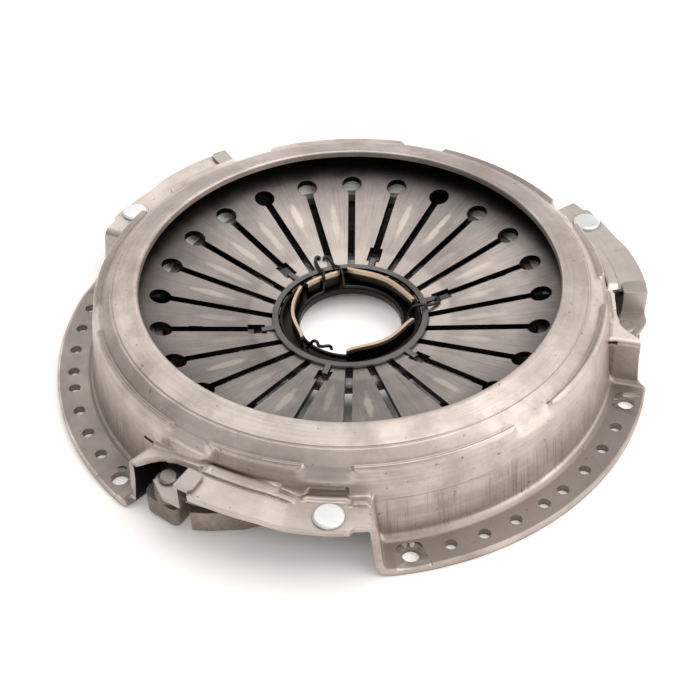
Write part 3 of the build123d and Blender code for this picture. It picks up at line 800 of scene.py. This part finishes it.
# painted shade: the inside of the cover is nearly black above its lowest few millimetres
inside_mat = steel("cover_inside", (0.22, 0.19, 0.17), (0.36, 0.315, 0.285), 0.5,
                   shade_band=("z", 0.004, 0.1, 0.002))
spring_mat = spring_steel()
plate_mat = cast_iron()
leaf_mat = steel("leaf_steel", (0.24, 0.215, 0.195), (0.38, 0.345, 0.32), 0.45)
rivet_mat = steel("rivet_steel", (0.27, 0.235, 0.21), (0.40, 0.355, 0.325), 0.42)
zinc_mat = steel("zinc_rivet", (0.68, 0.695, 0.695), (0.86, 0.87, 0.87), 0.4, 0.5, 160.0)
clip_mat = steel("clip_steel", (0.36, 0.32, 0.295), (0.52, 0.47, 0.435), 0.36)
# painted shade: the collar and the hub are nearly black towards their bores
collar_mat = steel("collar_steel", (0.11, 0.102, 0.095), (0.21, 0.198, 0.188), 0.4,
                   shade_band=("r", 0.0, 0.0575, 0.0006))
hub_mat = steel("hub_steel", (0.22, 0.195, 0.18), (0.40, 0.36, 0.33), 0.42,
                shade_band=("r", 0.0, 0.0565, 0.001))
# painted shade: the lock strips are nearly black below their top edges
strip_mat = steel("strip_steel", (0.52, 0.38, 0.27), (0.74, 0.58, 0.44), 0.4,
                  shade_band=("z", 0.0, 0.0378, 0.0016))
wire_mat = steel("wire_steel", (0.03, 0.028, 0.026), (0.07, 0.065, 0.06), 0.42)

# The first key that a piece's name starts with gives its material
looks = {
    "cover_rivet": zinc_mat, "cover": cover_mat, "spring_disc": spring_mat,
    "diaphragm_spring": spring_mat, "pressure_plate": plate_mat, "leaf_": leaf_mat,
    "ear_rivet": rivet_mat, "stop_clip": clip_mat, "collar": collar_mat, "thrust": hub_mat,
    "lock_segment": strip_mat, "lock_tongue": strip_mat, "lock_wire": wire_mat, "wire_": wire_mat,
}


def dress(obj):
    for key, mat in looks.items():
        if obj.name.startswith(key):
            places = [face.material_index for face in obj.data.polygons]
            obj.data.materials.clear()
            obj.data.materials.append(mat)
            if obj is cover:
                obj.data.materials.append(inside_mat)
                obj.data.polygons.foreach_set("material_index", places)
            return


for piece in list(nodes.values()) + [cover, spring] + leaves:
    dress(piece)


# Floor, lamps and world, in metres
FLOOR_HALF, FLOOR_DROP, FLOOR_GLOW = 6, 0.0004, 0.5
LAMP_TARGET = Vector((0, 0, 0.05))
# Name, place, size, power and tint of each lamp
LAMPS = (
    ("key", (0.7, -0.1, 2.1), (2.0, 2.0), 20, (1.0, 0.985, 0.97)),
    ("side", (1.7, -1.0, 0.8), (1.7, 1.8), 14, (1.0, 0.98, 0.96)),
    ("back", (-0.5, 1.7, 1.5), (1.6, 0.8), 6, (1.0, 0.99, 0.98)),
)
# Z of a ray's direction and level of the world there, between the horizon and overhead
SKY = ((0.22, 0.66), (0.45, 0.38), (0.62, 0.56), (0.78, 0.86), (0.96, 0.92))
HORIZON_Z, OVERHEAD = 0.08, (1.5, 1.49, 1.48, 1)
SIDE_DIM, SIDE_BRIGHT = 0.72, 1.4


def floor_white():
    """Pale floor that glows for camera, mirror and glass rays; the glow is taken away under the plate
    and faded near it as painted shade.
    """
    p = Paint("floor_white")
    p.shader.inputs["Base Color"].default_value = (0.86, 0.835, 0.82, 1)
    p.shader.inputs["Roughness"].default_value = 0.9
    p.shader.inputs["Specular IOR Level"].default_value = 0.1
    p.shader.inputs["Emission Color"].default_value = (1, 0.955, 0.93, 1)
    ray = p.node("ShaderNodeLightPath")
    seen = p.math("MAXIMUM", ray.outputs["Is Camera Ray"], ray.outputs["Is Glossy Ray"])
    seen = p.math("MAXIMUM", seen, ray.outputs["Is Transmission Ray"])
    far = p.node("ShaderNodeVectorMath", operation="LENGTH")
    p.link(p.coords, far.inputs[0])
    # painted shade: no glow under the plate, faded back in beyond it
    stops = [(0.05, 1.0), (0.068, 0.0), (0.185, 0.0), (0.215, 0.36), (0.42, 1.0)]
    glow_with_painted_shade = p.times(seen, p.ramp(far.outputs["Value"], stops))
    p.link(p.times(glow_with_painted_shade, FLOOR_GLOW), p.shader.inputs["Emission Strength"])
    return p.mat


def add_floor():
    mesh = bpy.data.meshes.new("floor")
    corners = [(x * FLOOR_HALF, y * FLOOR_HALF, 0) for x, y in ((-1, -1), (1, -1), (1, 1), (-1, 1))]
    mesh.from_pydata(corners, [], [[0, 1, 2, 3]])
    mesh.materials.append(floor_white())
    floor = make("floor", mesh)
    floor.location.z = -FLOOR_DROP


def add_lamp(name, place, size, power, tint):
    data = bpy.data.lights.new(name, "AREA")
    data.shape, data.size, data.size_y = "RECTANGLE", size[0], size[1]
    data.energy, data.color = power, tint
    lamp = make(name, data)
    lamp.location = place
    lamp.rotation_mode = "QUATERNION"
    lamp.rotation_quaternion = (LAMP_TARGET - Vector(place)).to_track_quat("-Z", "Y")


def add_world():
    """White at the horizon, dimmer above it and bright overhead, a little brighter on the right."""
    world = bpy.data.worlds.new("studio")
    bpy.context.scene.world = world
    world.use_nodes = True
    tree = world.node_tree
    back = tree.nodes["Background"]
    coords = tree.nodes.new("ShaderNodeTexCoord")
    split = tree.nodes.new("ShaderNodeSeparateXYZ")
    tree.links.new(coords.outputs["Generated"], split.inputs[0])
    ramp = tree.nodes.new("ShaderNodeValToRGB")
    stops = ramp.color_ramp.elements
    stops[0].position, stops[0].color = HORIZON_Z, (1, 1, 1, 1)
    stops[1].position, stops[1].color = 1.0, OVERHEAD
    for at, level in SKY:
        stops.new(at).color = (level, level * 0.992, level * 0.984, 1)
    tree.links.new(split.outputs["Z"], ramp.inputs["Fac"])
    side = tree.nodes.new("ShaderNodeMapRange")
    limits = {"From Min": -1, "From Max": 1, "To Min": SIDE_DIM, "To Max": SIDE_BRIGHT}
    for name, value in limits.items():
        side.inputs[name].default_value = value
    tree.links.new(split.outputs["X"], side.inputs["Value"])
    tree.links.new(ramp.outputs["Color"], back.inputs["Color"])
    tree.links.new(side.outputs[0], back.inputs["Strength"])
    # the camera itself sees plain white behind the floor
    plain = tree.nodes.new("ShaderNodeBackground")
    plain.inputs["Color"].default_value = (1, 1, 1, 1)
    ray = tree.nodes.new("ShaderNodeLightPath")
    choose = tree.nodes.new("ShaderNodeMixShader")
    tree.links.new(ray.outputs["Is Camera Ray"], choose.inputs[0])
    tree.links.new(back.outputs[0], choose.inputs[1])
    tree.links.new(plain.outputs[0], choose.inputs[2])
    tree.links.new(choose.outputs[0], tree.nodes["World Output"].inputs["Surface"])


add_floor()
for lamp_values in LAMPS:
    add_lamp(*lamp_values)
add_world()
bpy.context.scene.view_settings.view_transform = "Standard"
